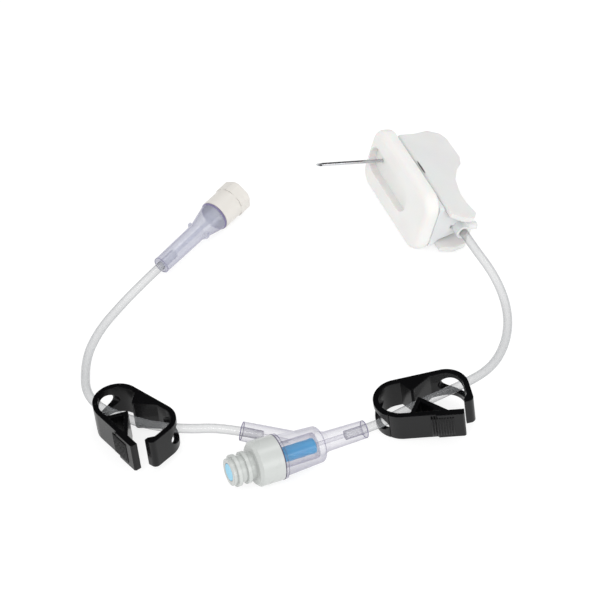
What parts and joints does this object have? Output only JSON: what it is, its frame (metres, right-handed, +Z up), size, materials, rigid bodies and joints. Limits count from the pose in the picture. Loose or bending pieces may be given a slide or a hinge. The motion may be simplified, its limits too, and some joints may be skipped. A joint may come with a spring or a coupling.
{
  "type": "port needle infusion set",
  "caption": "Right-angle port needle on a skin pad with folding finger grips, two clear tubes, pinch clamps, a side valve and a capped luer end.",
  "frame": {"origin": "on the table, under the middle of the box around everything but the two tubes", "axes": "+Z up from the table, +Y away from the viewer, +X to the viewer's right; the needle head lies on its side at +X +Y, the side valve is at -Y and the luer end at -X +Y"},
  "size_m": [0.1041, 0.1191, 0.0171],
  "materials": {
    "steel": "satin",
    "pad_soft": "matte",
    "clear_body": "gloss",
    "grip_plastic": "satin",
    "tube_clear": "gloss",
    "clamp_dark": "satin",
    "valve_white": "gloss",
    "valve_clear": "gloss",
    "silicone_pale": "satin",
    "silicone_blue": "satin",
    "luer_clear": "gloss",
    "cap_ivory": "satin"
  },
  "bodies": {
    "set": {"needle_cannula": "steel", "needle_hub": "clear_body", "skin_pad": "pad_soft", "tube_needle_side": "tube_clear", "tube_luer_side": "tube_clear", "clamp_frame_needle_side": "clamp_dark", "clamp_frame_luer_side": "clamp_dark", "valve_body": "valve_clear", "valve_cap": "valve_white", "valve_bellows": "silicone_blue", "luer_hub": "luer_clear"},
    "grip_upper": {"wing_upper": "grip_plastic"},
    "grip_lower": {"wing_lower": "grip_plastic"},
    "arm_needle_side": {"clamp_arm_needle_side": "clamp_dark"},
    "arm_luer_side": {"clamp_arm_luer_side": "clamp_dark"},
    "plug": {"valve_plug": "silicone_pale"},
    "end_cap": {"luer_cap": "cap_ivory"}
  },
  "joints": [
    {"name": "grip_upper_fold", "type": "hinge", "parent": "set", "child": "grip_upper", "pos_m": [0.03234, 0.0395, 0.01267], "axis": [0.3795, -0.9252, 0], "range_deg": [0, 92]},
    {"name": "grip_lower_fold", "type": "hinge", "parent": "set", "child": "grip_lower", "pos_m": [0.02983, 0.03847, 0.00222], "axis": [-0.3795, 0.9252, 0], "range_deg": [0, 88]},
    {"name": "clamp_needle_side_close", "type": "hinge", "parent": "set", "child": "arm_needle_side", "pos_m": [0.02319, -0.04036, 0.00421], "axis": [-0.1198, -0.0222, 0.9925], "range_deg": [0, 11], "stiffness_Nm_per_rad": 0.004, "deforming": ["tube_needle_side"]},
    {"name": "clamp_luer_side_close", "type": "hinge", "parent": "set", "child": "arm_luer_side", "pos_m": [-0.04517, -0.0383, 0.00421], "axis": [-0.0914, 0.0806, 0.9925], "range_deg": [0, 11], "stiffness_Nm_per_rad": 0.004, "deforming": ["tube_luer_side"]},
    {"name": "valve_press", "type": "slide", "parent": "set", "child": "plug", "axis": [0.902, 0.4283, -0.0541], "range_m": [0, 0.003], "stiffness_N_per_m": 600, "deforming": ["valve_bellows"]},
    {"name": "luer_cap_off", "type": "slide", "parent": "set", "child": "end_cap", "axis": [0.6079, 0.7923, 0.0523], "range_m": [0, 0.02]}
  ]
}
